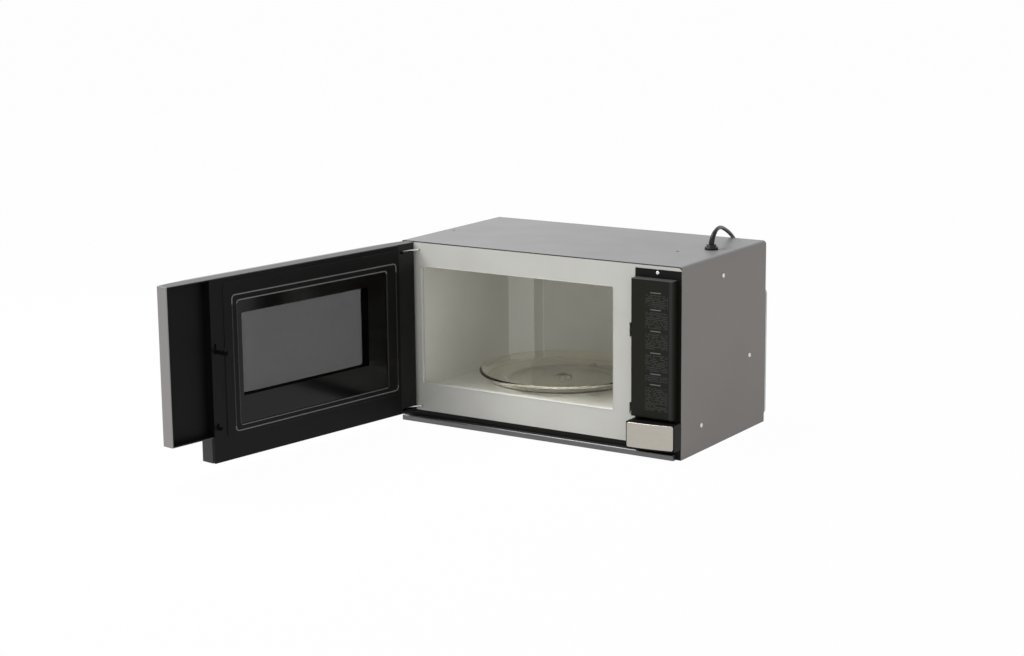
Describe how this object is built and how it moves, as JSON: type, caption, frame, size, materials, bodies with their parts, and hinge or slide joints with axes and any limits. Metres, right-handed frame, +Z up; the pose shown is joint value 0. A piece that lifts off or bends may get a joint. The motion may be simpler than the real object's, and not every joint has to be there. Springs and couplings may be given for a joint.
{
  "type": "over-the-counter microwave oven",
  "caption": "Under-cupboard microwave oven with a side-hinged door over its whole front, a door-open button, a glass turntable and a mains lead from the top.",
  "frame": {"origin": "centre of the case's underside", "axes": "+X to the right as seen from the front, +Y to the rear, +Z up; the front faces -Y"},
  "size_m": [0.6868, 1.069, 0.3947],
  "materials": {
    "case_paint": "satin warm grey paint",
    "flange_paint": "pale satin paint",
    "cavity_paint": "grey enamel paint",
    "zinc": "zinc-plated steel",
    "galvanised": "galvanised sheet",
    "stainless": "brushed stainless",
    "black_paint": "black satin paint",
    "black_plastic": "moulded black plastic",
    "black_gloss": "glossy black",
    "dark_glass": "smoked glass",
    "tray_glass": "clear glass",
    "screen": "perforated steel, black",
    "copper": "enamelled copper winding",
    "laminations": "steel laminations",
    "magnetron_steel": "plated steel and fins",
    "can": "drawn aluminium can",
    "board": "circuit board",
    "white_plastic": "white nylon or acetal",
    "mica": "mica sheet",
    "lamp_glass": "lamp glass",
    "spring_steel": "spring wire",
    "cord_black": "black flexible lead"
  },
  "bodies": {
    "cabinet": {"outer_case": "case_paint", "case_screws": "zinc", "mount_nuts": "zinc", "base_plate": "galvanised", "rear_panel": "galvanised", "front_flange": "flange_paint", "oven_cavity": "cavity_paint", "waveguide_cover": "mica", "waveguide": "galvanised", "magnetron": "magnetron_steel", "transformer_core": "laminations", "transformer_coil": "copper", "hv_capacitor": "can", "hv_diode": "black_plastic", "fan_shroud": "black_plastic", "fan_motor": "laminations", "lamp_socket": "white_plastic", "oven_lamp": "lamp_glass", "filter_board": "board", "power_board": "board", "thermostat": "black_plastic", "turntable_motor": "galvanised", "front_plate": "black_paint", "menu_panel": "black_plastic", "sill": "black_paint", "bottom_trim": "stainless", "hinge_plates": "zinc", "latch_base": "white_plastic", "interlock_switches": "black_plastic", "button_bezel": "black_plastic", "release_spring": "spring_steel", "cord_bushing": "cord_black", "power_cord": "cord_black", "cord_coil": "cord_black", "plug": "cord_black"},
    "fan": {"fan_blade": "white_plastic"},
    "turntable": {"drive_coupler": "white_plastic", "glass_tray": "tray_glass"},
    "roller_ring": {"roller_ring": "white_plastic"},
    "roller_1": {"roller_1": "white_plastic"},
    "roller_2": {"roller_2": "white_plastic"},
    "roller_3": {"roller_3": "white_plastic"},
    "plunger_upper": {"plunger_upper": "white_plastic"},
    "plunger_lower": {"plunger_lower": "white_plastic"},
    "button": {"button_cap": "stainless", "button_carrier": "black_plastic"},
    "release": {"release_slider": "white_plastic"},
    "door": {"door_skin": "stainless", "door_end_caps": "stainless", "door_window": "dark_glass", "control_fascia": "black_gloss", "recess_cover": "black_plastic", "key_board": "board", "door_frame": "black_paint", "window_screen": "screen", "door_bushes": "white_plastic", "choke_cover": "black_plastic", "inner_window": "dark_glass", "latch_spring": "spring_steel"},
    "latch": {"latch_hooks": "black_plastic"}
  },
  "joints": [
    {"name": "door_hinge", "type": "hinge", "parent": "cabinet", "child": "door", "pos_m": [-0.2834, -0.186, 0], "axis": [0, 0, 1], "range_deg": [-5, 98.83]},
    {"name": "latch_lift", "type": "slide", "parent": "door", "child": "latch", "axis": [0, 0, 1], "range_m": [0, 0.0045], "stiffness_N_per_m": 300, "springref_m": -0.001, "deforming": ["latch_spring"]},
    {"name": "button_press", "type": "slide", "parent": "cabinet", "child": "button", "axis": [0, 1, 0], "range_m": [0, 0.006], "stiffness_N_per_m": 400, "springref_m": -0.001},
    {"name": "release_slide", "type": "slide", "parent": "cabinet", "child": "release", "axis": [0, 0, 1], "range_m": [0, 0.0045], "deforming": ["release_spring"]},
    {"name": "turntable_spin", "type": "hinge", "parent": "cabinet", "child": "turntable", "pos_m": [-0.0475, 0.006, 0.08], "axis": [0, 0, 1], "continuous": true},
    {"name": "roller_ring_spin", "type": "hinge", "parent": "cabinet", "child": "roller_ring", "pos_m": [-0.0475, 0.006, 0.07], "axis": [0, 0, 1], "continuous": true},
    {"name": "roller_1_spin", "type": "hinge", "parent": "roller_ring", "child": "roller_1", "pos_m": [-0.0475, 0.1195, 0.07165], "axis": [0, 1, 0], "continuous": true},
    {"name": "roller_2_spin", "type": "hinge", "parent": "roller_ring", "child": "roller_2", "pos_m": [-0.14579, -0.05075, 0.07165], "axis": [-0.866, -0.5, 0], "continuous": true},
    {"name": "roller_3_spin", "type": "hinge", "parent": "roller_ring", "child": "roller_3", "pos_m": [0.05079, -0.05075, 0.07165], "axis": [0.866, -0.5, 0], "continuous": true},
    {"name": "fan_spin", "type": "hinge", "parent": "cabinet", "child": "fan", "pos_m": [0.234, 0.15, 0.196], "axis": [0, 1, 0], "continuous": true},
    {"name": "plunger_upper_press", "type": "slide", "parent": "cabinet", "child": "plunger_upper", "axis": [0, 1, 0], "range_m": [0, 0.0015], "stiffness_N_per_m": 200},
    {"name": "plunger_lower_press", "type": "slide", "parent": "cabinet", "child": "plunger_lower", "axis": [0, 1, 0], "range_m": [0, 0.0015], "stiffness_N_per_m": 200}
  ],
  "couplings": [
    {"joint": "release_slide", "follows": "button_press", "ratio": 0.75},
    {"joint": "roller_ring_spin", "follows": "turntable_spin", "ratio": 0.5},
    {"joint": "roller_1_spin", "follows": "turntable_spin", "ratio": -7.7211},
    {"joint": "roller_2_spin", "follows": "turntable_spin", "ratio": -7.7211},
    {"joint": "roller_3_spin", "follows": "turntable_spin", "ratio": -7.7211}
  ]
}
